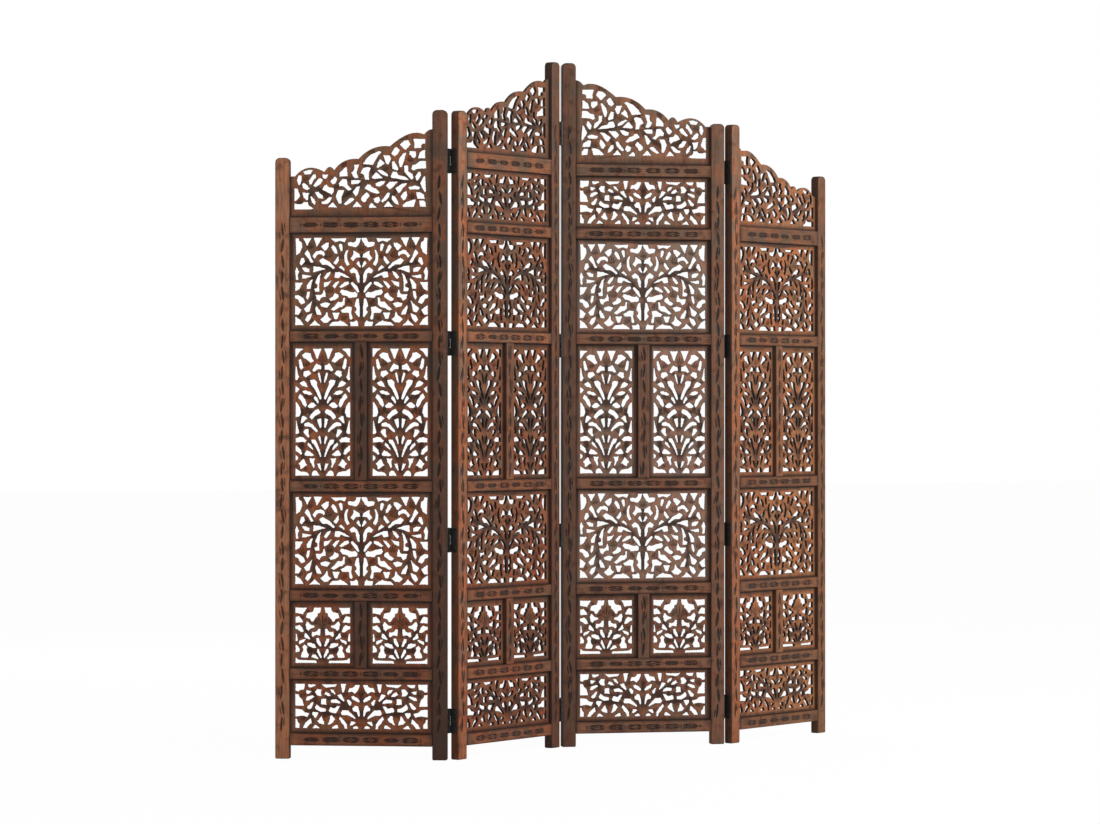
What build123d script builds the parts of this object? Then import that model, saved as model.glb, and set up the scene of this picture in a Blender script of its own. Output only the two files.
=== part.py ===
"""Folding four-panel carved jali screen, in millimetres.

Four frame-and-panel leaves stand in a zigzag and fold on butt hinges. Each leaf has two grooved stiles,
grooved cross rails with stub tenons, two short centre muntins, and pierced jali boards held in the grooves.
+Z is up, the fronts face -Y, and the origin is the middle of the footprint on the floor.
"""

import os
from math import cos, radians, sin

from build123d import *

# ---- leaf sizes -----------------------------------------------------------------------------------------
panel_width = 448.0
frame_thickness = 25.0
stile_width = 38.0
muntin_width = 32.0
short_stile_height = 1553.0  # free end of the outer leaves
middle_stile_height = 1673.0  # where an outer leaf meets an inner one
tall_stile_height = 1829.0  # where the two inner leaves meet
stile_arris = 3.0  # flat taken off a stile's upright edges
stile_shoulder = 9.0  # rounding of a stile's top
shoulder_flats = 3  # a round shoulder is planed as this many flats

# ---- rows, from the floor up ----------------------------------------------------------------------------
foot_height = 35.0
bottom_rail_height = 31.0
cross_rail_height = 29.0
top_rail_height = 40.0
band_opening = 140.0  # the low wide board, at the bottom and again near the top of the inner leaves
square_opening = 173.0
tree_opening = 253.0
column_opening = 358.0
crest_tall_side = 218.0
crest_short_side = 102.0
scallop_flats = 5  # each bow of the crest's top edge is cut as this many flats

# ---- grooves and jali boards ----------------------------------------------------------------------------
board_thickness = 8.0
groove_clearance = 0.2  # all round a board's edge, and at the end of a stub tenon
groove_depth = 6.0
board_border = 13.0  # plain wood round the pierced field, inside the opening
crest_border = 11.0

# ---- hinges ---------------------------------------------------------------------------------------------
hinge_height = 63.0
hinge_leaf_thickness = 1.5
hinge_leaf_depth = 20.0
hinge_gap = 5.0  # between the edges of two leaves that stand in line
pin_radius = 1.5
pin_clearance = 0.05
pin_overhang = 0.8
barrel_radius = 3.5
barrel_sides = 6  # the small round sections are drawn with few flats, because they repeat sixty times
pin_standoff = 3.0  # from a leaf's face to the pin's axis
knuckle_clearance = 0.3
hinge_heights = (100.0, 566.0, 1073.0)  # hinge centres on every seam
outer_seam_top_hinge = 1543.0
inner_seam_top_hinge = 1640.0

# ---- how the screen stands ------------------------------------------------------------------------------
headings = (-34.4, 26.2, -15.9, 23.5)  # each leaf's direction in plan, in degrees from +X
back_side, front_side = 1, -1
seam_sides = (back_side, front_side, back_side)  # the face of the leaves on which each seam's pins stand

leaf_names = ("outer_left", "inner_left", "inner_right", "outer_right")
tall_side_is_right = (True, True, False, False)
left_heights = (short_stile_height, middle_stile_height, tall_stile_height, middle_stile_height)
right_heights = (middle_stile_height, tall_stile_height, middle_stile_height, short_stile_height)
has_upper_band = (False, True, True, False)

opening_width = panel_width - 2 * stile_width
half_opening_width = (opening_width - muntin_width) / 2
board_tongue = groove_depth - groove_clearance  # how far a board or a tenon reaches into its groove
board_recess = (frame_thickness - board_thickness) / 2  # from a leaf's front face to a board's front

# ---- pierced work ---------------------------------------------------------------------------------------
# A row is one pointed cut: its centre in the pierced field, its length and width, and its direction in
# degrees. Across, 0 is the centre line and 1 the right edge; up, 0 is the bottom and 1 the top. Lengths and
# widths are shares of the field's height. Every cut is mirrored about the centre line.
TREE_CUTS = (
    (0.07, 0.59, 0.18, 0.07, 70),
    (0.29, 0.58, 0.19, 0.06, 18),
    (0.52, 0.72, 0.20, 0.07, 32),
    (0.65, 0.66, 0.17, 0.08, 4),
    (0.67, 0.48, 0.19, 0.07, -82),
    (0.06, 0.21, 0.21, 0.06, 90),
    (0.34, 0.25, 0.19, 0.07, -40),
    (0.80, 0.23, 0.17, 0.08, -54),
    (0.23, 0.78, 0.18, 0.05, 88),
)
COLUMN_CUTS = (
    (0.26, 0.69, 0.14, 0.05, 62),
    (0.70, 0.73, 0.09, 0.05, 32),
    (0.26, 0.49, 0.10, 0.05, -50),
    (0.42, 0.39, 0.13, 0.05, 36),
    (0.24, 0.21, 0.14, 0.05, 62),
    (0.66, 0.11, 0.08, 0.06, 50),
)
SQUARE_CUTS = (
    (0.32, 0.88, 0.24, 0.12, -42),
    (0.87, 0.70, 0.20, 0.09, 90),
    (0.16, 0.36, 0.20, 0.08, 66),
    (0.64, 0.24, 0.20, 0.11, 86),
    (0.62, 0.05, 0.34, 0.07, 0),
)
BAND_CUTS = (
    (0.11, 0.84, 0.26, 0.16, -20),
    (0.30, 0.80, 0.24, 0.12, 62),
    (0.37, 0.60, 0.32, 0.12, 14),
    (0.57, 0.60, 0.18, 0.15, 84),
    (0.08, 0.36, 0.34, 0.13, 66),
    (0.54, 0.17, 0.26, 0.14, 60),
    (0.89, 0.37, 0.26, 0.14, 8),
)
# The crest's top edge is a row of bows, each from notch to crown to notch. Across is a share of the
# opening's width from the tall side, and up is 0 at the short side's height and 1 at the tall side's.
CREST_BOWS = (
    ((0.0, 1.0), (0.03, 0.98), (0.06, 0.90)),
    ((0.06, 0.90), (0.17, 0.93), (0.30, 0.65)),
    ((0.30, 0.65), (0.42, 0.60), (0.52, 0.37)),
    ((0.52, 0.37), (0.62, 0.33), (0.69, 0.12)),
    ((0.69, 0.12), (0.72, 0.19), (0.76, 0.09)),
    ((0.76, 0.09), (0.87, 0.18), (0.965, 0.0)),
)
# The crest isn't symmetric. Across is a share of the opening's width from the tall side, up, length and
# width are shares of the same width.
CREST_CUTS = (
    (0.08, 0.48, 0.09, 0.06, 0),
    (0.21, 0.38, 0.14, 0.05, -68),
    (0.08, 0.32, 0.08, 0.06, 0),
    (0.17, 0.25, 0.13, 0.05, 54),
    (0.42, 0.37, 0.14, 0.06, -42),
    (0.34, 0.27, 0.11, 0.05, 24),
    (0.20, 0.13, 0.13, 0.06, -36),
    (0.61, 0.25, 0.10, 0.05, 80),
    (0.50, 0.13, 0.13, 0.05, -56),
    (0.74, 0.14, 0.12, 0.06, -30),
    (0.91, 0.07, 0.09, 0.06, 0),
)


class Leaf:
    """One leaf's place: its front face's plane, with x along the width, y up and z out of the front."""

    def __init__(self, corner, heading):
        self.along = Vector(cos(radians(heading)), sin(radians(heading)), 0)
        self.out = Vector(sin(radians(heading)), -cos(radians(heading)), 0)
        self.front = Plane(origin=corner, x_dir=self.along, z_dir=self.out)

    def plan_point(self, across, out):
        """A point in plan, from its distance along the width and its distance out of the front face."""
        return self.front.origin + self.along * across + self.out * out


def pin_place(side):
    """How far out of the front face the pins stand on one side of a leaf."""
    return pin_standoff if side == front_side else -frame_thickness - pin_standoff


def stand_leaves():
    """Chains the leaves pin to pin, then moves the row so that its footprint is centred on the origin."""
    leaves = [Leaf(Vector(0, 0, 0), headings[0])]
    pins = []
    for heading, side in zip(headings[1:], seam_sides):
        pin = leaves[-1].plan_point(panel_width + hinge_gap / 2, pin_place(side))
        turned = Leaf(Vector(0, 0, 0), heading)
        corner = pin - turned.along * (hinge_gap / 2) - turned.out * pin_place(side) + turned.along * hinge_gap
        leaves.append(Leaf(corner, heading))
        pins.append(pin)
    corners = [
        leaf.plan_point(across, out)
        for leaf in leaves
        for edge, inward in ((0, 1), (panel_width, -1))
        for face, depth in ((0, -1), (-frame_thickness, 1))
        for across, out in ((edge + inward * stile_arris, face), (edge, face + depth * stile_arris))
    ]
    mid_x = (min(c.X for c in corners) + max(c.X for c in corners)) / 2
    mid_y = (min(c.Y for c in corners) + max(c.Y for c in corners)) / 2
    shift = Vector(-mid_x, -mid_y, 0)
    moved = [Leaf(leaf.front.origin + shift, heading) for leaf, heading in zip(leaves, headings)]
    return moved, [pin + shift for pin in pins]


def rows(upper_band):
    """The rows of one leaf from the floor up, as (kind, bottom, top)."""
    plan = [("bottom_rail", bottom_rail_height), ("band", band_opening), ("rail", cross_rail_height)]
    plan += [("square", square_opening), ("rail", cross_rail_height), ("tree", tree_opening)]
    plan += [("rail", cross_rail_height), ("column", column_opening), ("rail", cross_rail_height)]
    plan += [("tree", tree_opening)]
    if upper_band:
        plan += [("rail", cross_rail_height), ("band", band_opening)]
    plan += [("top_rail", top_rail_height)]
    level, placed = foot_height, []
    for kind, height in plan:
        placed.append((kind, level, level + height))
        level += height
    return placed


# ---- frame ----------------------------------------------------------------------------------------------
def make_stile(leaf, left_edge, height, groove_on_right, groove_top):
    """An upright with eased arrises and a rounded top, and a stopped groove in its inner edge."""
    middle = leaf.front.origin + leaf.along * (left_edge + stile_width / 2)
    shoulders = []
    for side, first_turn in ((1, 0), (-1, 90)):
        hub = (left_edge + stile_width / 2 + side * (stile_width / 2 - stile_shoulder), height - stile_shoulder)
        for step in range(shoulder_flats + 1):
            turn = radians(first_turn + 90 * step / shoulder_flats)
            shoulders.append((hub[0] + stile_shoulder * cos(turn), hub[1] + stile_shoulder * sin(turn)))
    foot = Plane(
        origin=middle - leaf.out * (frame_thickness / 2), x_dir=leaf.along, z_dir=(0, 0, 1)
    )
    inner_edge = left_edge + (stile_width if groove_on_right else 0)
    with BuildPart() as stile:
        with BuildSketch(foot):
            Rectangle(stile_width, frame_thickness)
            chamfer(vertices(), stile_arris)
        extrude(amount=height)
        with BuildSketch(leaf.front):
            Polygon((left_edge, 0), (left_edge + stile_width, 0), *shoulders, align=None)
        extrude(amount=-frame_thickness, mode=Mode.INTERSECT)
        with BuildSketch(leaf.front.offset(-board_recess)):
            with Locations((inner_edge, foot_height)):
                Rectangle(2 * groove_depth, groove_top - foot_height, align=(Align.CENTER, Align.MIN))
        extrude(amount=-board_thickness, mode=Mode.SUBTRACT)
    return stile.part


def make_rail(leaf, bottom, top, grooves):
    """A cross rail with a groove in each edge that holds a board, and a stub tenon on each end."""
    height = top - bottom
    tenon_length = opening_width + 2 * board_tongue
    with BuildPart() as rail:
        with BuildSketch(leaf.front):
            with Locations((panel_width / 2, bottom)):
                Rectangle(opening_width, height, align=(Align.CENTER, Align.MIN))
        extrude(amount=-frame_thickness)
        with BuildSketch(leaf.front.offset(-board_recess)):
            with Locations((panel_width / 2, bottom)):
                Rectangle(tenon_length, height, align=(Align.CENTER, Align.MIN))
        extrude(amount=-board_thickness)
        with BuildSketch(leaf.front.offset(-board_recess)):
            with Locations(*[(panel_width / 2, {"bottom": bottom, "top": top}[edge]) for edge in grooves]):
                Rectangle(2 * panel_width, 2 * groove_depth)
        extrude(amount=-board_thickness, mode=Mode.SUBTRACT)
    return rail.part


def make_muntin(leaf, bottom, top):
    """The short upright between two boards, grooved both sides and tenoned into the rails."""
    with BuildPart() as muntin:
        with BuildSketch(leaf.front):
            with Locations((panel_width / 2, bottom)):
                Rectangle(muntin_width, top - bottom, align=(Align.CENTER, Align.MIN))
        extrude(amount=-frame_thickness)
        with BuildSketch(leaf.front.offset(-board_recess)):
            with Locations((panel_width / 2, bottom - board_tongue)):
                Rectangle(
                    muntin_width - 2 * groove_depth,
                    top - bottom + 2 * board_tongue,
                    align=(Align.CENTER, Align.MIN),
                )
        extrude(amount=-board_thickness)
        with BuildSketch(leaf.front.offset(-board_recess)):
            for edge in (-muntin_width / 2, muntin_width / 2):
                with Locations((panel_width / 2 + edge, bottom)):
                    Rectangle(2 * groove_depth, top - bottom, align=(Align.CENTER, Align.MIN))
        extrude(amount=-board_thickness, mode=Mode.SUBTRACT)
    return muntin.part


# ---- jali boards ----------------------------------------------------------------------------------------
def cut_shape(length, width, angle):
    """One pointed cut, widest past its middle, turned to its direction."""
    widest = 0.15 * length
    outline = [(-length / 2, 0), (widest, -width / 2), (length / 2, 0), (widest, width / 2)]
    Polygon(*outline, rotation=angle, align=None)


def make_board(leaf, middle, bottom, width, height, cuts):
    """A pierced board that fills an opening and reaches into the grooves round it."""
    field_width, field_height = width - 2 * board_border, height - 2 * board_border
    with BuildPart() as board:
        with BuildSketch(leaf.front.offset(-board_recess)):
            with Locations((middle, bottom + height / 2)):
                Rectangle(width + 2 * board_tongue, height + 2 * board_tongue)
        extrude(amount=-board_thickness)
        with BuildSketch(leaf.front.offset(-board_recess)):
            for across, up, length, cut_width, angle in cuts:
                for side in (-1, 1):
                    place = (middle + side * across * field_width / 2, bottom + board_border + up * field_height)
                    with Locations(place):
                        turn = angle if side > 0 else 180 - angle
                        cut_shape(length * field_height, cut_width * field_height, turn)
        extrude(amount=-board_thickness, mode=Mode.SUBTRACT)
    return board.part


def bow_point(start, crown, end, along):
    """A point of the parabola that passes from notch to crown to notch."""
    return [
        a * (1 - along) * (1 - 2 * along) + c * 4 * along * (1 - along) + b * along * (2 * along - 1)
        for a, c, b in zip(start, crown, end)
    ]


def make_crest(leaf, bottom, tall_on_right):
    """The arched crest: a scalloped top edge that steps down from the tall side to the short side."""

    def across(share):
        """A distance from the tall side, as a distance along the leaf's width."""
        from_tall = share * opening_width
        return panel_width - stile_width - from_tall if tall_on_right else stile_width + from_tall

    def point(share, rise):
        fall = crest_tall_side - crest_short_side
        return (across(share), bottom + crest_short_side + rise * fall)

    tongue_share = board_tongue / opening_width
    top_edge = [point(-tongue_share, 1.0)]
    for start, crown, end in CREST_BOWS:
        for step in range(scallop_flats):
            top_edge.append(point(*bow_point(start, crown, end, step / scallop_flats)))
    top_edge.append(point(*CREST_BOWS[-1][-1]))
    tall_foot = (across(-tongue_share), bottom - board_tongue)
    short_foot = (across(1 + tongue_share), bottom - board_tongue)
    with BuildPart() as crest:
        with BuildSketch(leaf.front.offset(-board_recess)):
            with BuildLine():
                Polyline(*top_edge, point(1 + tongue_share, 0), short_foot, tall_foot, top_edge[0])
            make_face()
        extrude(amount=-board_thickness)
        with BuildSketch(leaf.front.offset(-board_recess)):
            for share, up, length, width, angle in CREST_CUTS:
                field = opening_width - 2 * board_border
                start = board_border / opening_width
                place = (across(start + share * field / opening_width), bottom + crest_border + up * field)
                with Locations(place):
                    turn = 180 - angle if tall_on_right else angle
                    cut_shape(length * field, width * field, turn)
        extrude(amount=-board_thickness, mode=Mode.SUBTRACT)
    return crest.part


# ---- hinges ---------------------------------------------------------------------------------------------
def make_hinge_leaf(leaf, on_right_edge, side, centre_height, knuckles):
    """A butt hinge's plate on the edge of a leaf, with its own knuckles of three rolled round the pin."""
    edge = panel_width if on_right_edge else 0
    away = 1 if on_right_edge else -1
    pin_across = edge + away * hinge_gap / 2
    pin_out = pin_place(side)
    # The plate stops short of the other plate's knuckles; only its own knuckles reach the pin.
    inward = 1 if side == back_side else -1
    plate_end = pin_out + inward * (barrel_radius + knuckle_clearance)
    plate_start = plate_end + inward * hinge_leaf_depth
    knuckle_height = hinge_height / 3
    low = centre_height - hinge_height / 2
    spans = []
    for index in knuckles:
        z_low = low + index * knuckle_height + (knuckle_clearance if index else 0)
        z_high = low + (index + 1) * knuckle_height - (knuckle_clearance if index < 2 else 0)
        spans.append((z_low, z_high))
    blocks = [(plate_start, plate_end, low, low + hinge_height)]
    blocks += [(plate_end, pin_out, z_low, z_high) for z_low, z_high in spans]
    pin = leaf.plan_point(pin_across, pin_out)

    with BuildPart() as hinge_leaf:
        for out_a, out_b, z_low, z_high in blocks:
            middle = leaf.plan_point(edge + away * hinge_leaf_thickness / 2, (out_a + out_b) / 2)
            floor = Plane(origin=(middle.X, middle.Y, z_low), x_dir=leaf.along, z_dir=(0, 0, 1))
            with BuildSketch(floor):
                Rectangle(hinge_leaf_thickness, abs(out_a - out_b))
            extrude(amount=z_high - z_low)
        for z_low, z_high in spans:
            floor = Plane(origin=(pin.X, pin.Y, z_low), x_dir=leaf.along, z_dir=(0, 0, 1))
            with BuildSketch(floor):
                RegularPolygon(barrel_radius, barrel_sides)
            extrude(amount=z_high - z_low)
        bore = Plane(origin=(pin.X, pin.Y, low), x_dir=leaf.along, z_dir=(0, 0, 1))
        with BuildSketch(bore):
            RegularPolygon(pin_radius + pin_clearance, barrel_sides, major_radius=False)
        extrude(amount=hinge_height, mode=Mode.SUBTRACT)
    return hinge_leaf.part


def make_pin(place, centre_height):
    """A hinge pin, a little longer than the barrel."""
    length = hinge_height + 2 * pin_overhang
    foot = Plane(origin=(place.X, place.Y, centre_height - length / 2))
    with BuildPart() as pin:
        with BuildSketch(foot):
            RegularPolygon(pin_radius, barrel_sides)
        extrude(amount=length)
    return pin.part


# ---- the whole screen -----------------------------------------------------------------------------------
def save(name, *pieces):
    """Writes one node, as a single solid or as a group of like pieces that stay separate solids."""
    node = pieces[0] if len(pieces) == 1 else Compound(children=list(pieces))
    node.label = name
    export_step(node, f"parts/{name}.step")


def build_leaf(name, leaf, tall_on_right, left_height, right_height, upper_band):
    """Builds and saves every wooden piece of one leaf."""
    placed = rows(upper_band)
    crest_foot = placed[-1][2]
    tall_groove_top = crest_foot + crest_tall_side
    short_groove_top = crest_foot + crest_short_side
    left_top = short_groove_top if tall_on_right else tall_groove_top
    right_top = tall_groove_top if tall_on_right else short_groove_top
    save(f"{name}_left_stile", make_stile(leaf, 0, left_height, True, left_top))
    save(f"{name}_right_stile", make_stile(leaf, panel_width - stile_width, right_height, False, right_top))

    rails = []
    for kind, bottom, top in placed:
        if kind.endswith("rail"):
            grooves = ("top",) if kind == "bottom_rail" else ("bottom", "top")
            rails.append(make_rail(leaf, bottom, top, grooves))
    save(f"{name}_rails", *rails)

    muntins = [make_muntin(leaf, low, high) for kind, low, high in placed if kind in ("square", "column")]
    save(f"{name}_muntins", *muntins)

    seen = set()
    for kind, bottom, top in placed:
        level = "upper" if kind in seen else "lower"
        if kind in ("band", "tree"):
            cuts = BAND_CUTS if kind == "band" else TREE_CUTS
            board = make_board(leaf, panel_width / 2, bottom, opening_width, top - bottom, cuts)
            save(f"{name}_{level}_{kind}_jali", board)
        elif kind in ("square", "column"):
            cuts = SQUARE_CUTS if kind == "square" else COLUMN_CUTS
            offset = (muntin_width + half_opening_width) / 2
            for hand, middle in (("left", panel_width / 2 - offset), ("right", panel_width / 2 + offset)):
                board = make_board(leaf, middle, bottom, half_opening_width, top - bottom, cuts)
                save(f"{name}_{hand}_{kind}_jali", board)
        seen.add(kind)
    save(f"{name}_crest_jali", make_crest(leaf, crest_foot, tall_on_right))


def build_seam(name, left_leaf, right_leaf, side, pin, heights):
    """Builds and saves the hinges that join two leaves."""
    end_knuckles, middle_knuckle = (0, 2), (1,)
    left_plates = [make_hinge_leaf(left_leaf, True, side, z, middle_knuckle) for z in heights]
    right_plates = [make_hinge_leaf(right_leaf, False, side, z, end_knuckles) for z in heights]
    save(f"{name}_seam_left_hinge_plates", *left_plates)
    save(f"{name}_seam_right_hinge_plates", *right_plates)
    save(f"{name}_seam_hinge_pins", *[make_pin(pin, z) for z in heights])


def main():
    os.makedirs("parts", exist_ok=True)
    leaves, pins = stand_leaves()
    for index, name in enumerate(leaf_names):
        build_leaf(
            name,
            leaves[index],
            tall_side_is_right[index],
            left_heights[index],
            right_heights[index],
            has_upper_band[index],
        )
    outer_heights = hinge_heights + (outer_seam_top_hinge,)
    inner_heights = hinge_heights + (inner_seam_top_hinge,)
    seams = (("left", outer_heights), ("middle", inner_heights), ("right", outer_heights))
    for index, (name, heights) in enumerate(seams):
        build_seam(name, leaves[index], leaves[index + 1], seam_sides[index], pins[index], heights)


main()
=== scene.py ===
"""A folding screen of four carved jali leaves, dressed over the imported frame."""

import math
import random

import bmesh
import bpy
from mathutils import Matrix, Vector
from mathutils.geometry import delaunay_2d_cdt
from mathutils.kdtree import KDTree


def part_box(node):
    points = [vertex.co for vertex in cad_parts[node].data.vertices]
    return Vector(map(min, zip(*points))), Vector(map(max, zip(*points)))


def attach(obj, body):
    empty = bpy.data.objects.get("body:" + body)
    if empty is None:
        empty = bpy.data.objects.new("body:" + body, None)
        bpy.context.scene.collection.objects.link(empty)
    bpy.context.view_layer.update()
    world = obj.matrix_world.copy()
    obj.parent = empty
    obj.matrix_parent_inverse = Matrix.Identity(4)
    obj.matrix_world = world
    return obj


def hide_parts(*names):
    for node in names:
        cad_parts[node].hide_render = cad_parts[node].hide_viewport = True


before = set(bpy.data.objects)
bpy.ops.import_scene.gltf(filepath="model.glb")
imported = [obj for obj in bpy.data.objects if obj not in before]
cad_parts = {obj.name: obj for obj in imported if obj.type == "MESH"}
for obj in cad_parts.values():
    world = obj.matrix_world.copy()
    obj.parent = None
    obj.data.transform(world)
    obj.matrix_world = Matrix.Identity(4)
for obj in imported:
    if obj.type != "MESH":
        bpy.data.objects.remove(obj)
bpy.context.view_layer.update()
MM = 0.001

# ---- Where it stands ----
# A pale studio floor with a white surround. The floor takes a faint shadow, and the surround shows white
# to the eye, while the light on the wood comes from the lamps and a softer sky.
studio_white = (1.0, 1.0, 1.0, 1.0)
floor_grey = (0.86, 0.86, 0.86, 1)
floor_glow = 0.97
floor_size = 60.0
sky_tint = (1.0, 0.99, 0.97, 1)
sky_light = 0.5


def add_node(tree, kind, inputs=None, **settings):
    """A shader node with its settings made, and each input set to a value or joined to an output."""
    made = tree.nodes.new(kind)
    for name, value in settings.items():
        setattr(made, name, value)
    for name, value in (inputs or {}).items():
        if isinstance(value, bpy.types.NodeSocket):
            tree.links.new(value, made.inputs[name])
        else:
            made.inputs[name].default_value = value
    return made


floor_mesh = bpy.data.meshes.new("floor")
sheet = bmesh.new()
bmesh.ops.create_grid(sheet, x_segments=1, y_segments=1, size=floor_size / 2)
sheet.to_mesh(floor_mesh)
sheet.free()
floor = bpy.data.objects.new("floor", floor_mesh)
bpy.context.scene.collection.objects.link(floor)

floor_paint = bpy.data.materials.new("pale_floor")
floor_paint.use_nodes = True
tree = floor_paint.node_tree
tree.nodes.clear()
seen = add_node(tree, "ShaderNodeLightPath").outputs["Is Camera Ray"]
share = add_node(tree, "ShaderNodeMath", {0: seen, 1: floor_glow}, operation="MULTIPLY").outputs[0]
matt = add_node(tree, "ShaderNodeBsdfDiffuse", {"Color": floor_grey}).outputs[0]
glow = add_node(tree, "ShaderNodeEmission", {"Color": studio_white}).outputs[0]
blend = add_node(tree, "ShaderNodeMixShader", {0: share, 1: matt, 2: glow}).outputs[0]
add_node(tree, "ShaderNodeOutputMaterial", {"Surface": blend})
floor_mesh.materials.append(floor_paint)

surround = bpy.data.worlds.new("white_surround")
surround.use_nodes = True
tree = surround.node_tree
tree.nodes.clear()
seen = add_node(tree, "ShaderNodeLightPath").outputs
rays = {0: seen["Is Camera Ray"], 1: seen["Is Transmission Ray"]}
direct = add_node(tree, "ShaderNodeMath", rays, operation="MAXIMUM").outputs[0]
lit = add_node(tree, "ShaderNodeBackground", {"Color": sky_tint, "Strength": sky_light}).outputs[0]
plain = add_node(tree, "ShaderNodeBackground", {"Color": studio_white, "Strength": 1.0}).outputs[0]
blend = add_node(tree, "ShaderNodeMixShader", {0: direct, 1: lit, 2: plain}).outputs[0]
add_node(tree, "ShaderNodeOutputWorld", {"Surface": blend})
bpy.context.scene.world = surround
bpy.context.scene.view_settings.view_transform = "Standard"

# The camera stands off to the left, at half the screen's height, on a long lens.
camera_data = bpy.data.cameras.new("camera")
camera_data.lens = 121.7
camera_data.sensor_width = 36.0
camera_data.clip_end = 100.0
camera = bpy.data.objects.new("camera", camera_data)
camera.location = (-4.7025, -8.7096, 0.9016)
camera.rotation_euler = (math.radians(89.967), 0, math.radians(-27.876))
bpy.context.scene.collection.objects.link(camera)
bpy.context.scene.camera = camera


def soft_lamp(name, place, size, power, tint):
    """A square soft box that faces the middle of the screen."""
    data = bpy.data.lights.new(name, "AREA")
    data.size, data.energy, data.color = size, power, tint
    lamp = bpy.data.objects.new(name, data)
    lamp.location = place
    lamp.rotation_euler = (Vector((0, 0, 0.9)) - Vector(place)).to_track_quat("-Z", "Y").to_euler()
    bpy.context.scene.collection.objects.link(lamp)


soft_lamp("key_lamp", (3.6, -3.4, 2.8), 1.6, 240, (1.0, 0.96, 0.92))
soft_lamp("fill_lamp", (-4.0, -3.5, 2.4), 2.0, 60, (0.97, 0.98, 1.0))
soft_lamp("back_lamp", (0.5, 4.5, 2.6), 3.0, 60, (1.0, 1.0, 1.0))

# ---- The four leaves' places ----
# Each leaf is a frame of two stiles with everything else between them. A leaf's own coordinates run across
# its width from the left edge, from its front face into its thickness, and up from the floor.
leaf_names = ("outer_left", "inner_left", "inner_right", "outer_right")
panel_width = 448
frame_thickness = 25
stile_width = 38


def box_middle(node):
    """The middle of a node's box."""
    low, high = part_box(node)
    return (low + high) / 2


def leaf_place(leaf):
    """The matrix that carries a leaf's own coordinates to where the leaf stands."""
    left, right = box_middle(f"{leaf}_left_stile"), box_middle(f"{leaf}_right_stile")
    turn = Matrix.Rotation(math.atan2(right.y - left.y, right.x - left.x), 4, "Z")
    corner = Vector((left.x, left.y, 0)) - turn @ Vector((stile_width, frame_thickness, 0)) * MM / 2
    return Matrix.Translation(corner) @ turn


places = {leaf: leaf_place(leaf) for leaf in leaf_names}

# ---- Stained wood ----
# Hardwood brushed with a red-brown stain that has taken unevenly, and coloured greyer towards the top and
# redder near the floor. The first stile has dried pale, the third leaf grey and the last leaf golden. Painted
# shade darkens every chip almost to black, the walls of every piece and saw cut, and the boards' borders by
# the frame, and a painted milky sheen greys some boards of the third leaf. Grain runs along each piece.
red_stain = (0.27, 0.066, 0.022, 1)

stain_and_shade_tree = bpy.data.node_groups.new("stain_shade_and_sheen", "ShaderNodeTree")
for name, value in (
    ("Light Stain", (0.3, 0.13, 0.08, 1)),
    ("Red Stain", red_stain),
    ("Grey Wood", (0.2, 0.13, 0.1, 1)),
    # The dark that the painted shade and the stain take the wood to.
    ("Shade And Stain", (0.02, 0.012, 0.01, 1)),
):
    stain_and_shade_tree.interface.new_socket(name=name, in_out="INPUT", socket_type="NodeSocketColor").default_value = value
for name, kind in (("Colour", "Color"), ("Roughness", "Float"), ("Height", "Float")):
    stain_and_shade_tree.interface.new_socket(name=name, in_out="OUTPUT", socket_type=f"NodeSocket{kind}")


def marked(attribute, output="Fac"):
    """What a mesh attribute says at a point."""
    return add_node(stain_and_shade_tree, "ShaderNodeAttribute", attribute_name=attribute).outputs[output]


def noise(place, scale, detail):
    """Cloudy noise, the finer the larger its scale."""
    made = add_node(stain_and_shade_tree, "ShaderNodeTexNoise", {"Vector": place, "Scale": scale, "Detail": detail})
    return made.outputs["Fac"]


def grain_noise(stretch, detail):
    """Noise drawn out along the grain."""
    drawn = add_node(stain_and_shade_tree, "ShaderNodeMapping", {"Vector": marked("grain", "Vector"), "Scale": stretch})
    return noise(drawn.outputs["Vector"], 3.0, detail)


def ramp(value, low, high, to_low=0.0, to_high=1.0):
    """A value's span between two limits, spread between two others."""
    limits = {"Value": value, "From Min": low, "From Max": high, "To Min": to_low, "To Max": to_high}
    return add_node(stain_and_shade_tree, "ShaderNodeMapRange", limits).outputs["Result"]


def combined(operation, first, second, clamped=False):
    """Two values added or multiplied."""
    made = add_node(stain_and_shade_tree, "ShaderNodeMath", {0: first, 1: second}, operation=operation, use_clamp=clamped)
    return made.outputs[0]


def colour_mix(amount, first, second):
    """The first colour shifted to the second by an amount. A Mix node's colour sockets are 6, 7 and 2."""
    sockets = {0: amount, 6: first, 7: second}
    return add_node(stain_and_shade_tree, "ShaderNodeMix", sockets, data_type="RGBA", clamp_factor=True).outputs[2]


given = add_node(stain_and_shade_tree, "NodeGroupInput").outputs
spot = add_node(stain_and_shade_tree, "ShaderNodeTexCoord").outputs["Object"]
place = add_node(stain_and_shade_tree, "ShaderNodeSeparateXYZ", {0: spot}).outputs
patches, specks = noise(spot, 19.0, 4.0), noise(spot, 38.0, 2.0)
streaks, fibres = grain_noise((6, 60, 60), 5), grain_noise((14, 260, 260), 3)
tone_and_sheen, shade_and_stain = marked("tone_and_sheen"), marked("shade_and_stain")

# The wood is coloured redder near the floor and greyer towards the top.
low_down = ramp(place["Z"], 0.2, 1.5, 0.6, 0.2)
redness = combined("ADD", ramp(patches, 0.35, 0.65, -0.35, 0.35), low_down, clamped=True)
before_its_end = ramp(place["X"], 0.40, 0.43, 1.0, 0.0)
on_third_leaf = combined("MULTIPLY", ramp(place["X"], -0.04, -0.02, 0.0, 0.35), before_its_end)
rising = ramp(place["Z"], 0.1, 1.5, 1.0, 0.25)
on_last_leaf = combined("MULTIPLY", ramp(place["X"], 0.38, 0.7, 0.0, 0.7), rising)

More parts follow.
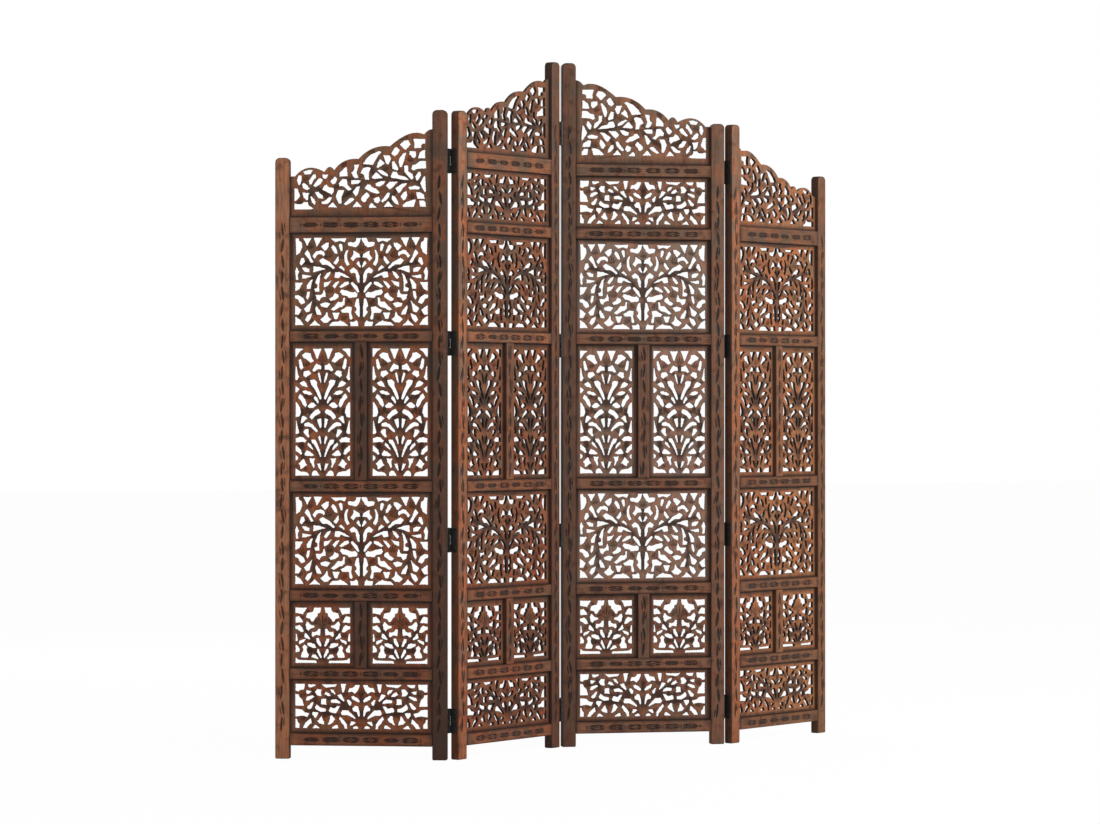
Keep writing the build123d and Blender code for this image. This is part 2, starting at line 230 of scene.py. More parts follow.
# Each coat lies over the ones before it: how much of it shows, and its colour.
colour = given["Grey Wood"]
for amount, coat in (
    (ramp(patches, 0.4, 0.62), given["Light Stain"]),
    (redness, given["Red Stain"]),
    (ramp(place["X"], -0.785, -0.8, 0.0, 0.55), (0.38, 0.165, 0.083, 1)),
    (on_third_leaf, (0.17, 0.122, 0.092, 1)),
    (on_last_leaf, (0.34, 0.148, 0.055, 1)),
    (ramp(streaks, 0.42, 0.68, 0.0, 0.45), (0.04, 0.02, 0.014, 1)),
    (ramp(specks, 0.52, 0.72, 0.0, 0.7), (0.05, 0.027, 0.018, 1)),
    # Painted sheen: a tone below nothing whitens the wood to a milky grey, standing in for the white
    # surround's reflection.
    (ramp(tone_and_sheen, 0.0, -1.0), (0.3, 0.3, 0.28, 1)),
    (tone_and_sheen, (0.033, 0.0195, 0.0145, 1)),
    # A value below nothing paints the ticks lighter.
    (ramp(shade_and_stain, 0.0, -1.0), (0.42, 0.30, 0.22, 1)),
    # Painted shade in chips, on walls and by the frame, stain where rails meet stiles, and darker stems and
    # thin bars.
    (shade_and_stain, given["Shade And Stain"]),
):
    colour = colour_mix(amount, colour, coat)
felt = {"Roughness": ramp(fibres, 0.2, 0.8, 0.42, 0.62), "Height": combined("ADD", streaks, fibres)}
add_node(stain_and_shade_tree, "NodeGroupOutput", {"Colour": colour, **felt})


def stained_wood(name, light, grey):
    """One batch of stained wood."""
    wood = bpy.data.materials.new(name)
    wood.use_nodes = True
    tree = wood.node_tree
    batch = {"Light Stain": light, "Red Stain": red_stain, "Grey Wood": grey}
    coat = add_node(tree, "ShaderNodeGroup", batch, node_tree=stain_and_shade_tree).outputs
    bump = {"Strength": 0.25, "Distance": 0.0006, "Height": coat["Height"]}
    grain = add_node(tree, "ShaderNodeBump", bump).outputs["Normal"]
    shader = tree.nodes["Principled BSDF"]
    shader.inputs["Specular IOR Level"].default_value = 0.16
    for name, source in (("Base Color", coat["Colour"]), ("Roughness", coat["Roughness"]), ("Normal", grain)):
        tree.links.new(source, shader.inputs[name])
    return wood


frame_wood = stained_wood("frame_wood", (0.40, 0.16, 0.07, 1), (0.18, 0.095, 0.056, 1))
board_wood = stained_wood("board_wood", (0.36, 0.13, 0.052, 1), (0.18, 0.092, 0.05, 1))

# ---- Stiles ----
# Uprights of 38 by 25 mm with rounded arrises and tops. A wavy line of knife-cut chips climbs the middle of
# each front, with smaller leaf chips beside it. This section also says how all the carving is cut.
stile_arris = 3.5
stile_shoulder = 12
first_chip = 70
chip_pitch = 40
plain_top = 165
# The chips' painted shade at a chip's rim and bottom, a tick's darker rim and lighter line, the back's slight
# darkening, and the painted shade on a stile's walls.
frame_halo = 0.85
pale_halo = 0.6
chip_bottom_shade = 0.97
tick_rim_darkness = 0.5
tick_lightening = 0.6
back_darkness = 0.1
stile_wall_shade = 0.64
sharp_rim = 1.2
shallow_cut = 0.15
# How far past a chip its painted shade fades out, along it and across it.
chip_shade_reach = (3, 2.5)
high_tone_at = 1.2
chip_length = (37, 43)
chip_width = (6, 8.5)
chip_cut = 1.9
chip_sway = 1.2
thin_chip_share = 0.6
thin_chip = (24, 2.4)
thin_chip_cut = 1.2
thin_chip_beside = (6.2, 6)
hand = random.Random(7)


def chip_lines(chip):
    """A pointed chip's outline, the line where its painted shade fades out, and its bottom.

    A chip is its (x, z, length, width, degrees, depth). One without depth is a tick, painted lighter."""
    x, z, length, width, angle, depth = chip
    turn = Matrix.Rotation(math.radians(angle), 2)
    shape = ((-1, 0), (-0.6, 0.64), (0, 1), (0.6, 0.64), (1, 0), (0.6, -0.64), (0, -1), (-0.6, -0.64))
    middle = Vector((x, z))
    outline = [middle + turn @ Vector((s * length / 2, t * width / 2)) for s, t in shape]
    far, wide = length / 2 + chip_shade_reach[0], width / 2 + chip_shade_reach[1]
    darkened = [middle + turn @ Vector((s * far, t * wide)) for s, t in shape]
    bottom = [middle + turn @ Vector((s * length / 2, 0)) for s in (-0.75, 0, 0.75)]
    return outline, darkened, bottom


def chip_depth(point, chips):
    """How deep the chips cut at a point of the face."""
    deepest = 0.0
    for x, z, length, width, angle, depth in chips:
        if abs(point.x - x) < length and abs(point.y - z) < length:
            along = Matrix.Rotation(math.radians(-angle), 2) @ (point - Vector((x, z)))
            s, t = 2 * along.x / length, 2 * abs(along.y) / width
            if depth > 0 and abs(s) < 1 and t < 1 - s * s:
                deepest = max(deepest, depth * math.sqrt(1 - s * s) * (1 - t / (1 - s * s)))
    return deepest


def anticlockwise(ring):
    """The ring as vectors, in the turn that the cutting needs."""
    ring = [Vector(p) for p in ring]
    turn = sum(a.cross(b) for a, b in zip(ring, ring[1:] + ring[:1]))
    return ring if turn > 0 else ring[::-1]


def carved_front(outline, openings, chips, halo, shade, guides):
    """A piece's front at depth 0, its chips cut in. Its corners say their painted shade and stain, and how
    much lighter a tick is painted.
    """
    points, rings, edges = [], [], []
    for ring in [outline, *openings]:
        rings.append(list(range(len(points), len(points) + len(ring))))
        points += anticlockwise(ring)
    for guide in guides:
        edges += [(len(points) + k, len(points) + k + 1) for k in range(len(guide) - 1)]
        points += [Vector(p) for p in guide]
    marks, paler = {}, set()
    for chip in chips:
        tick = chip[5] == 0
        ring, darkened, bottom = chip_lines(chip)
        # A chip's rim and bottom take painted shade that fades out along its outer line; a tick gets a darker
        # rim and a line painted lighter.
        darknesses = (tick_rim_darkness, 0.0, 0.0) if tick else (halo, 0.0, chip_bottom_shade)
        for line, shade_and_stain in zip((ring, darkened, bottom), darknesses):
            start, count = len(points), len(line)
            marks |= {start + k: shade_and_stain for k in range(count)}
            edges += [(start + k, start + k + 1) for k in range(count - 1)]
            if line is not bottom:
                edges.append((start + count - 1, start))
            elif tick:
                paler |= {start + k for k in range(count)}
            points += line
    flat, _, triangles, sources, _, owners = delaunay_2d_cdt(points, edges, rings, 1, 1e-4)
    front = bmesh.new()
    vertex_shade_and_stain, lightening = front.verts.layers.float.new("vertex_shade_and_stain"), front.verts.layers.float.new("lightening")
    corner = {}
    for triangle, own in zip(triangles, owners):
        if 0 in own and not any(0 < ring <= len(openings) for ring in own):
            for k in triangle:
                if k not in corner:
                    cut = chip_depth(flat[k], chips)
                    # Inside a chip the painted shade is at least the halo; elsewhere the stems and thin bars
                    # are painted darker.
                    darknesses = [marks.get(source, 0.0) for source in sources[k]]
                    darknesses += [halo] if cut > shallow_cut else [shade(*flat[k])] if shade else []
                    corner[k] = front.verts.new((flat[k].x, cut, flat[k].y))
                    corner[k][vertex_shade_and_stain] = max(darknesses, default=0.0)
                    corner[k][lightening] = 0.0 if paler.isdisjoint(sources[k]) else tick_lightening
            front.faces.new([corner[k] for k in triangle])
    return front


def carve(outline, openings, chips, thick, arris, wall_shade, halo, edge_stain_and_shade=None, shade=None, guides=()):
    """A carved piece, front at depth 0: a sawn outline, openings right through, and chips in its front.

    The halo is how dark the painted shade in the chips is, and the walls take painted shade as well. The
    front also darkens with the edge darkening, painted shade by the frame and stain where a rail meets a
    stile, and, inside the outline, with the stems and thin bars painted darker. Guides are lines along which
    the darkness changes."""
    piece = carved_front(outline, openings, chips, halo, shade, guides)
    layers = piece.verts.layers.float
    vertex_shade_and_stain = layers["vertex_shade_and_stain"]
    made = bmesh.ops.extrude_face_region(piece, geom=piece.faces[:], use_keep_orig=True)
    for part in made["geom"]:
        if isinstance(part, bmesh.types.BMVert):
            part.co.y = thick
            part[vertex_shade_and_stain] = back_darkness
    wall = piece.faces.layers.int.new("wall")
    for face in piece.faces:
        face[wall] = len({round(vert.co.y, 3) == thick for vert in face.verts}) == 2
    bmesh.ops.recalc_face_normals(piece, faces=piece.faces[:])
    walled = [edge for edge in piece.edges if any(face[wall] for face in edge.link_faces)]
    rim = [edge for edge in walled if edge.calc_face_angle(0.0) > sharp_rim]
    steps = 3 if arris > 2 else 1
    bmesh.ops.bevel(piece, geom=rim, offset=arris, segments=steps, profile=0.5, affect="EDGES", material=-1)
    shade_and_stain, lightening = piece.loops.layers.float.new("shade_and_stain"), layers["lightening"]
    for face in piece.faces:
        # Walls take painted shade; other faces keep their painted shade and stain with the edge darkening,
        # less any lightening.
        for loop in face.loops:
            at = loop.vert
            darkened = max(0.0, at[vertex_shade_and_stain], edge_stain_and_shade(at.co.x, at.co.z) if edge_stain_and_shade else 0.0)
            loop[shade_and_stain] = wall_shade if face[wall] else darkened - at[lightening]
    piece.faces.layers.int.remove(wall)
    for name in ("vertex_shade_and_stain", "lightening"):
        layers.remove(layers[name])
    return piece


def to_object(shape, name, leaf, material, crease):
    """Sets a shape in its leaf and makes it an object, smooth but for creases sharper than some degrees."""
    bmesh.ops.transform(shape, matrix=places[leaf] @ Matrix.Scale(MM, 4), verts=shape.verts[:])
    for face in shape.faces:
        face.smooth = True
    mesh = bpy.data.meshes.new(name)
    shape.to_mesh(mesh)
    shape.free()
    mesh.set_sharp_from_angle(angle=math.radians(crease))
    mesh.materials.append(material)
    item = bpy.data.objects.new(name, mesh)
    bpy.context.scene.collection.objects.link(item)
    return item


def finish_piece(piece, name, leaf, wood, grain_up, node, tones):
    """Marks which way a carved piece's grain runs and its tone low down and high up, where a tone below
    nothing is a painted sheen, and hands it over.
    """
    grain = piece.verts.layers.float_vector.new("grain")
    tone_and_sheen = piece.verts.layers.float.new("tone_and_sheen")
    apart = Vector((hand.uniform(0, 40), hand.uniform(0, 40), hand.uniform(0, 40)))
    for vert in piece.verts:
        x, y, z = vert.co * MM
        vert[grain] = (Vector((z, x, y)) if grain_up else Vector((x, z, y))) + apart
        vert[tone_and_sheen] = tones[0] + (tones[1] - tones[0]) * min(1, z / high_tone_at)
    item = to_object(piece, name, leaf, wood, crease=28)
    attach(item, leaf)
    if node:
        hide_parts(node)


def climbing_chips(middle, low, high):
    """The wavy line of chips that climbs a stile or a muntin, with a thin chip beside some of them."""
    chips = []
    count = int((high - low) / chip_pitch)
    for k in range(count):
        z = low + (k + 0.5) * (high - low) / count
        sway = 1 if k % 2 else -1
        x = middle + sway * chip_sway + hand.uniform(-1.5, 1.5)
        lean = 90 + sway * hand.uniform(3, 9)
        chips.append((x, z, hand.uniform(*chip_length), hand.uniform(*chip_width), lean, chip_cut))
        if hand.random() < thin_chip_share:
            side = hand.choice((-1, 1))
            beside = (x + side * thin_chip_beside[0], z + side * thin_chip_beside[1])
            chips.append((*beside, *thin_chip, lean, thin_chip_cut))
    return chips


def stile_outline(left, height):
    """A stile's face, with a quarter round on each shoulder."""
    outline = [(left, 0), (left + stile_width, 0)]
    for hub, start in ((left + stile_width - stile_shoulder, 0), (left + stile_shoulder, 90)):
        for step in range(7):
            a = math.radians(start + step * 15)
            outline.append((hub + stile_shoulder * math.cos(a), height - stile_shoulder * (1 - math.sin(a))))
    return outline


# How dark the stain has dried on each left and right stile, at the floor and 1.2 m up.
stile_tones = {
    "outer_left": ((0.0, 0.0), (0.9, 0.5)),
    "inner_left": ((0.0, 0.0), (0.7, 0.62)),
    "inner_right": ((0.68, 0.62), (0.36, 0.36)),
    "outer_right": ((0.12, 0.14), (0.52, 0.52)),
}
for leaf in leaf_names:
    for side, left, tones in zip(("left", "right"), (0, panel_width - stile_width), stile_tones[leaf]):
        node = f"{leaf}_{side}_stile"
        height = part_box(node)[1].z / MM
        outline = stile_outline(left, height)
        chips = climbing_chips(left + stile_width / 2, first_chip, height - plain_top)
        halo = pale_halo if node == "outer_left_left_stile" else frame_halo
        stile = carve(outline, [], chips, frame_thickness, stile_arris, stile_wall_shade, halo)
        finish_piece(stile, f"{node}_carved", leaf, frame_wood, True, node, tones)

# ---- Cross rails ----
# Six or seven rails tie the stiles of a leaf together. Each has six eye-shaped leaf pairs cut along the
# middle of its front, with an upright nick between one pair and the next.
board_tongue = 5.8
rail_arris = 1.2
# Painted shade on the walls of rails and muntins.
rail_wall_shade = 0.6
eye_count = 6
eye_pitch = 52
eye_length = 34
bow_length = 25
bow_lean = 11
bow_reach = 9.5
eye_cut = 1.4
bow_cut = 1.6
eye_cuts = ((3.9, 3.8), (3.9, 3.8), (3.7, 8.0), (2.5, 5.0))
nick = (7, 2.0, 90)
nick_cuts = (0, 1.2)
end_stain_burn = 0.55
end_stain_reach = 13
end_guide = 14
top_rail_worn = {"inner_right": 8}
rail_tones = {"outer_left": 0.38, "inner_left": 0.28, "inner_right": 0.36, "outer_right": 0.48}


def eye_chips(middle_x, middle_z):
    """One eye: two bowed cuts above, two below, and a long one between them. Some are cut solid or slim."""
    middle_x += hand.uniform(-2, 2)
    spread, core = hand.choice(eye_cuts)
    chips = [(middle_x, middle_z, eye_length, core * hand.uniform(0.85, 1.15), hand.uniform(-4, 4), eye_cut)]
    for side in (-1, 1):
        for end in (-1, 1):
            bow = (bow_length, hand.uniform(4.5, 6), -side * end * bow_lean, bow_cut)
            chips.append((middle_x + end * bow_reach, middle_z + side * spread, *bow))
    return chips


def end_stain(x, z):
    """Stain gathers where a rail runs into a stile."""
    to_end = min(x - stile_width, panel_width - stile_width - x)
    return end_stain_burn * max(0.0, 1 - to_end / end_stain_reach)


def rail_levels(leaf):
    """The (bottom, top) of each rail of a leaf, from the boards between them."""
    boards = [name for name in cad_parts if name.startswith(leaf) and name.endswith("_jali")]
    spans = sorted({tuple(round(c.z / MM, 2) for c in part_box(name)) for name in boards})
    levels = [(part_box(f"{leaf}_rails")[0].z / MM, spans[0][0] + board_tongue)]
    for below, above in zip(spans, spans[1:]):
        levels.append((below[1] - board_tongue, above[0] + board_tongue))
    levels[-1] = (levels[-1][0], levels[-1][1] - top_rail_worn.get(leaf, 0))
    return levels


for leaf in leaf_names:
    for count, (low, high) in enumerate(rail_levels(leaf)):
        left, right = stile_width, panel_width - stile_width
        middle = (low + high) / 2
        first_nick = panel_width / 2 - eye_count * eye_pitch / 2
        chips = []
        for k in range(eye_count + 1):
            chips.append((first_nick + k * eye_pitch, middle, *nick, hand.choice(nick_cuts)))
            if k < eye_count:
                chips += eye_chips(first_nick + (k + 0.5) * eye_pitch, middle)
        outline = [(left, low), (right, low), (right, high), (left, high)]
        guides = [[(x, low + 1), (x, high - 1)] for x in (left + end_guide, right - end_guide)]
        solid = (frame_thickness, rail_arris, rail_wall_shade, frame_halo)
        rail = carve(outline, [], chips, *solid, end_stain, guides=guides)
        tone_and_sheen = rail_tones[leaf] + hand.uniform(-0.12, 0.12)
        node = f"{leaf}_rails" if count == 0 else None
        finish_piece(rail, f"{leaf}_rail_{count + 1}", leaf, frame_wood, False, node, (tone_and_sheen, tone_and_sheen))

# ---- Muntins ----
# Short uprights of the frame's wood that part the paired boards. They stand between two rails, and are cut
# with the stiles' climbing line.
muntin_width = 32
muntin_plain = 4
muntin_tones = {"outer_left": 0.75, "inner_left": 0.4, "inner_right": 0.45, "outer_right": 0.35}


def opening_span(node):
    """The (bottom, top) of the opening that a board's tongues reach out of."""
    low, high = (c.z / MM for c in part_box(node))
    return low + board_tongue, high - board_tongue


for leaf in leaf_names:
    for row, board in (("lower", "left_square_jali"), ("upper", "left_column_jali")):
        low, high = opening_span(f"{leaf}_{board}")
        left, right = (panel_width - muntin_width) / 2, (panel_width + muntin_width) / 2
        outline = [(left, low), (right, low), (right, high), (left, high)]
        chips = climbing_chips(panel_width / 2, low + muntin_plain, high - muntin_plain)
        muntin = carve(outline, [], chips, frame_thickness, rail_arris, rail_wall_shade, frame_halo)
        node = f"{leaf}_muntins" if row == "lower" else None
        finish_piece(muntin, f"{leaf}_{row}_muntin", leaf, frame_wood, True, node, (muntin_tones[leaf],) * 2)

# ---- Jali boards ----
# Thin boards pierced with a fret saw and held in the frame's grooves. Each pattern is drawn in mm from its
# centre line and from the bottom of the pierced field: its openings, the stems, which are painted darker, and
# the fans of knife-cut veins on leaves and flowers. Only the right half is drawn, and mirrored.
board_thickness = 8
board_recess = 8.5
# The plain border round a pattern, across which the painted shade by the frame fades.
board_border = 13
board_guide = 7
# Painted shade on a board's walls, and in its vein chips.
board_wall_shade = 0.9
board_halo = 0.65
saw_kerf = 1.3
kerf_limit = 0.7
saw_round = 2.2
corner_share = 0.4
saw_arris = 0.4
toothed_from = 8
toothed_share = 0.6
tooth_pitch = 6.0
tooth_height = 1.8
tooth_room = 0.33
wavy_from = 9
hand_wobble = 0.6
# How dark the stems and the thin bars between openings are painted.
stem_darkness = 0.85
stem_reach = 8.5
stem_fade = 4
thin_bar = 10.0
thin_bar_darkness = 0.75
vein_width = 2.2
vein_depth = 0.8
vein_middle = 0.62
# How dark each leaf's boards are stained. Below nothing the tone paints a milky sheen, on the third leaf's
# tree and column boards; its smaller boards are made darker.
board_tones_and_sheen = {"outer_left": 0.08, "inner_left": 0.28, "inner_right": -0.12, "outer_right": 0.0}
darker_small_boards = {"inner_right": 0.22}
full_opening = panel_width - 2 * stile_width
half_opening = (full_opening - muntin_width) / 2


def distance_to_run(point, a, b):
    """How far a point lies from the straight run between two others."""
    along = max(0.0, min(1.0, (point - a).dot(b - a) / (b - a).length_squared))
    return (point - a.lerp(b, along)).length


def with_neighbours(ring):
    """Each point of a ring between the one before it and the one after it."""
    return zip(ring[-1:] + ring[:-1], ring, ring[1:] + ring[:1])


def sawn(ring):
    """An opening as the saw leaves it: a kerf wider, some edges cut in teeth, and its corners rounded."""
    grown = []
    for before, here, after in with_neighbours(ring):
        into, away = (here - before).normalized(), (after - here).normalized()
        outward = Vector((into.y + away.y, -into.x - away.x))
        grown.append(here + outward * saw_kerf / max(kerf_limit, 1 + into.dot(away)))
    ring, smooth = [], []
    edges = list(zip(grown, grown[1:] + grown[:1]))
    for here, after in edges:
        ring.append(here)
        length = (after - here).length
        if length > toothed_from and hand.random() < toothed_share:
            inward = Vector((here.y - after.y, after.x - here.x)) / length
            teeth = int(length / tooth_pitch) * 2
            for k in range(1, teeth):
                root = here.lerp(after, k / teeth)
                room = min(distance_to_run(root, *edge) for edge in edges if edge[0] != here)
                ring.append(root + inward * (min(tooth_height, tooth_room * room) if k % 2 else 0))
        elif length > wavy_from:
            wobble = Vector((hand.uniform(-1, 1), hand.uniform(-1, 1))) * hand_wobble
            ring.append((here + after) / 2 + wobble)
    for before, here, after in with_neighbours(ring):
        into, away = before - here, after - here
        start = here + into * min(corner_share, saw_round / into.length)
        end = here + away * min(corner_share, saw_round / away.length)
        smooth += [start, (start + 2 * here + end) / 4, end]
    return smooth


def stem_shade(stems):
    """How dark the wood is painted at a point beside the stems, each a run of points."""
    runs = [(Vector(a), Vector(b)) for stem in stems for a, b in zip(stem, stem[1:])]

    def shade(x, z):
        nearest = min(distance_to_run(Vector((x, z)), a, b) for a, b in runs)
        return stem_darkness * max(0.0, min(1.0, (stem_reach - nearest) / stem_fade))

    return shade


def thin_wood(rings):
    """How dark a point on an opening's edge is painted, where little wood parts it from the next opening."""
    points = [(ring, p) for ring, outline in enumerate(rings) for p in outline]
    near = KDTree(len(points))
    for index, (ring, p) in enumerate(points):
        near.insert((p.x, p.y, 0), index)
    near.balance()

    def shade(x, z):
        found = near.find_range((x, z, 0), thin_bar)
        own = {points[index][0] for _, index, distance in found if distance < 0.01}
        across = [distance for _, index, distance in found if own and points[index][0] not in own]
        return thin_bar_darkness * (1 - min(across) / thin_bar) if across else 0.0

    return shade


def vein_fan(x, z, angle, reach):
    """Five veins that spread from the foot of a leaf or a flower."""
    chips = []
    for spread, share in ((-44, 0.7), (-22, 0.9), (0, 1.0), (22, 0.9), (44, 0.7)):
        a = math.radians(angle + spread)
        length = reach * share
        middle = (x + math.cos(a) * length * vein_middle, z + math.sin(a) * length * vein_middle)
        chips.append((*middle, length, vein_width, angle + spread, vein_depth))
    return chips


def turned_over(fan):
    """A fan of veins on the other side of the centre line."""
    x, z, angle, reach = fan
    return -x, z, 180 - angle, reach


def mirrored(shapes):
    """Openings or stems with those of the left half."""
    return shapes + [[(-x, z) for x, z in reversed(shape)] for shape in shapes]


def cut_board(outline, openings, fans, stems, framed):
    """A pierced board as deep as the frame holds it. Framed says where its (left, foot, right, top) are."""
    rings = [sawn(anticlockwise(ring)) for ring in openings]
    chips = [chip for fan in fans for chip in vein_fan(*fan)]
    left, foot, right, top = framed
    near, far, sill = left + board_guide, right - board_guide, foot + board_guide
    on_stems, on_thin = stem_shade(stems), thin_wood(rings)

    def shade(x, z):
        return max(on_stems(x, z), on_thin(x, z))

    # Painted shade by the frame, with stain gathered in the corners, darkens the border next to the frame.
    def corner_shade_and_stain(x, z):
        return max(0.0, 1 - min(x - left, right - x, z - foot, top - z) / board_border)

    cut = (board_thickness, saw_arris, board_wall_shade, board_halo)
    guide = [(near, top), (near, sill), (far, sill), (far, top)]
    board = carve(outline, rings, chips, *cut, corner_shade_and_stain, shade, [guide])
    bmesh.ops.translate(board, vec=(0, board_recess, 0), verts=board.verts[:])
    return board


def cut_rectangle(width, node, openings, fans, stems):
    """A pierced board for a node's opening, mirrored about its centre line."""
    low, high = opening_span(node)
    side, foot, top = width / 2, -board_border, high - low - board_border
    outline = [(-side, foot), (side, foot), (side, top), (-side, top)]
    both = [each for fan in fans for each in ([fan, turned_over(fan)] if fan[0] else [fan])]
    return cut_board(outline, mirrored(openings), both, mirrored(stems), (-side, foot, side, top))


def set_board(pattern, node, leaf, middle, lift):
    """Sets a copy of a pattern's board in its opening, with the drawing's foot lifted from the opening's."""
    board = pattern.copy()
    bmesh.ops.translate(board, vec=(middle, 0, opening_span(node)[0] + lift), verts=board.verts[:])
    tone_and_sheen = board_tones_and_sheen[leaf] + hand.uniform(-0.05, 0.05)
    if "tree" not in node and "column" not in node:
        tone_and_sheen += darker_small_boards.get(leaf, 0)
    finish_piece(board, f"{node}_carved", leaf, board_wood, True, node, (tone_and_sheen, tone_and_sheen))


def set_full_boards(pattern, kind):
    """Sets the boards that fill a leaf's width, in its lower and its upper row of that kind."""
    for leaf in leaf_names:
        for level in ("lower", "upper"):
            node = f"{leaf}_{level}_{kind}_jali"
            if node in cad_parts:
                set_board(pattern, node, leaf, panel_width / 2, board_border)


def set_paired_boards(pattern, kind):
    """Sets the boards on the two sides of a leaf's muntin."""
    for leaf in leaf_names:
        for side, way in (("left", -1), ("right", 1)):
            middle = panel_width / 2 + way * (muntin_width + half_opening) / 2
            set_board(pattern, f"{leaf}_{side}_{kind}_jali", leaf, middle, board_border)


# ---- Tree boards ----
# The broad boards above and below the middle row: a trunk with two boughs that branch into leaves, between
# a flower at the top and leaf scrolls at the foot.
tree_openings = [
    [(1, 225), (13, 225), (17, 214), (28, 215), (35, 213), (33, 207), (16, 203), (9, 208), (4, 217)],
    [(40, 225), (80, 225), (68, 216), (55, 220), (44, 216)],
    [(103, 226), (124, 226), (117, 203), (109, 217)],
    [(131, 226), (152, 226), (142, 206)],
    [(165, 226), (172, 225), (171, 182), (161, 189), (155, 203), (156, 214), (164, 219)],
    [(50, 208), (55, 211), (59, 207), (54, 193), (49, 195)],
    [(75, 208), (79, 202), (70, 188), (63, 185), (64, 193), (69, 203)],
    [(85, 213), (93, 213), (105, 205), (97, 195), (92, 196), (86, 205)],
    [(96, 184), (98, 190), (107, 194), (117, 192), (127, 180), (122, 174), (116, 184), (106, 186), (99, 180)],
    [(142, 195), (148, 187), (139, 176), (132, 163), (126, 164), (132, 174), (137, 189)],
    [(34, 195), (39, 193), (44, 180), (43, 165), (37, 154), (31, 158), (37, 170), (38, 182)],
    [(22, 194), (20, 184), (28, 173), (22, 167), (15, 176), (3, 177), (5, 184), (15, 190)],
    [(9, 166), (13, 160), (3, 149), (2, 154), (5, 162)],
    [(59, 178), (63, 176), (73, 162), (67, 158), (59, 169)],
    [(102, 174), (110, 168), (103, 159), (90, 159), (73, 147), (70, 150), (82, 163)],
    [(150, 174), (157, 174), (161, 161), (158, 156), (148, 167)],
    [(92, 146), (108, 151), (125, 153), (126, 138), (113, 142)],
    [(156, 150), (145, 150), (136, 146), (136, 139), (148, 140)],
    [(170, 151), (173, 140), (171, 119), (165, 119), (167, 130), (163, 139), (167, 147)],
    [(5, 111), (5, 128), (11, 142), (21, 150), (31, 142), (27, 136), (16, 138), (14, 127), (10, 114)],
    [(53, 155), (59, 151), (43, 140), (45, 147)],
    [(29, 123), (43, 132), (58, 138), (68, 138), (70, 126), (58, 124), (54, 132), (42, 126)],
    [(80, 140), (90, 135), (98, 124), (93, 120), (84, 131)],
    [(129, 128), (155, 131), (155, 122), (145, 123)],
    [(104, 138), (113, 128), (120, 111), (114, 108), (114, 98), (123, 95), (121, 89), (110, 89), (111, 108),
     (109, 124)],
    [(126, 121), (133, 117), (143, 104), (143, 96), (133, 96), (131, 108)],
    [(153, 111), (173, 111), (173, 90), (162, 96)],
    [(24, 112), (27, 109), (9, 86), (6, 88), (10, 99)],
    [(34, 113), (45, 111), (57, 101), (52, 98), (40, 104), (33, 108)],
    [(56, 116), (66, 112), (75, 102), (70, 96), (63, 106)],
    [(75, 120), (84, 113), (98, 111), (98, 100), (86, 106)],
    [(11, 82), (17, 87), (27, 85), (40, 90), (53, 93), (56, 87), (50, 80), (38, 78), (33, 72), (13, 74)],
    [(61, 80), (69, 84), (73, 76), (84, 69), (80, 64), (70, 67), (60, 74)],
    [(96, 92), (99, 90), (104, 79), (120, 79), (117, 70), (109, 65), (104, 74), (93, 75), (94, 83)],
    [(135, 88), (141, 87), (144, 73), (142, 66), (137, 75)],
    [(173, 78), (165, 79), (153, 71), (148, 60), (158, 56), (163, 62), (166, 70), (173, 72)],
    [(7, 69), (12, 68), (17, 50), (11, 42), (17, 35), (8, 23), (5, 24), (5, 50)],
    [(43, 72), (48, 70), (49, 60), (60, 61), (68, 52), (80, 42), (73, 39), (60, 47), (50, 49), (44, 55)],
    [(82, 57), (94, 60), (107, 56), (104, 50), (90, 47)],
    [(127, 68), (133, 58), (144, 49), (150, 44), (144, 35), (136, 37), (134, 47)],
    [(119, 53), (120, 44), (116, 30), (104, 29), (109, 40)],
    [(173, 52), (173, 29), (164, 29), (157, 41), (164, 46)],
    [(25, 47), (37, 49), (54, 39), (50, 34), (32, 34), (31, 20), (27, 16), (23, 20), (27, 32)],
    [(57, 33), (75, 33), (70, 18), (63, 18)],
    [(89, 35), (92, 33), (97, 24), (107, 16), (98, 8), (88, 9), (79, 17), (87, 22)],
    [(128, 32), (141, 26), (147, 15), (141, 9), (133, 18)],
    [(173, 24), (173, 2), (151, 2), (159, 14)],
    [(8, 0), (28, 0), (30, 9), (18, 9), (13, 13), (9, 7)],
    [(34, 0), (85, 0), (77, 8), (65, 9), (55, 13), (45, 8)],
    [(106, 0), (137, 0), (127, 8), (122, 15), (117, 8)],
]
tree_fans = [
    (0, 188, 90, 18), (84, 172, 78, 22), (132, 196, 80, 18), (51, 172, 96, 14), (20, 100, 8, 26),
    (82, 82, 88, 20), (150, 76, 60, 20), (140, 160, 40, 16), (24, 66, -40, 18), (40, 14, 60, 16),
    (156, 22, 60, 14), (70, 6, 50, 12), (118, 176, 10, 10), (128, 20, -70, 12), (76, 62, 20, 10),
]
tree_stems = [
    [(0, -6), (0, 180)],
    [(0, 84), (24, 117), (58, 143), (92, 144), (118, 130)],
    [(60, 143), (118, 158), (140, 160)],
    [(100, 140), (126, 122), (126, 70), (122, 30)],
]
tree_board = cut_rectangle(full_opening, "outer_left_lower_tree_jali", tree_openings, tree_fans, tree_stems)
set_full_boards(tree_board, "tree")

